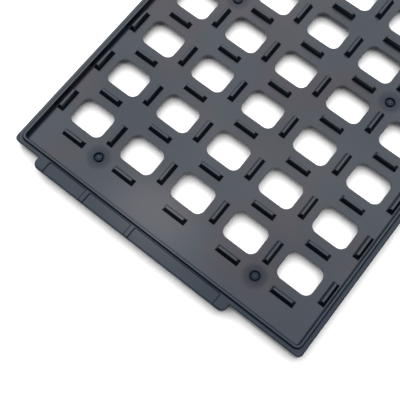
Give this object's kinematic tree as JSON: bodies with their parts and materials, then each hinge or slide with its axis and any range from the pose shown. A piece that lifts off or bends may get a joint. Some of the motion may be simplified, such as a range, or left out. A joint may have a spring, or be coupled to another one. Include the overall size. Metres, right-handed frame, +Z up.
{
  "type": "ic matrix tray",
  "caption": "One-piece moulded stacking tray with a grid of open-floored cells between drafted locating bars, a raised stacking rim, end tabs and a keyed corner.",
  "frame": {"origin": "the middle of the plane that the tray rests on", "axes": "+X along the tray, away from the end with the marking fields; +Y across it, towards the side that the end tabs are nearer to; +Z up, out of the cells"},
  "size_m": [0.3226, 0.1358, 0.0076],
  "materials": {
    "tray": "satin dark grey"
  },
  "bodies": {
    "root": {"tray": "tray"}
  },
  "joints": []
}
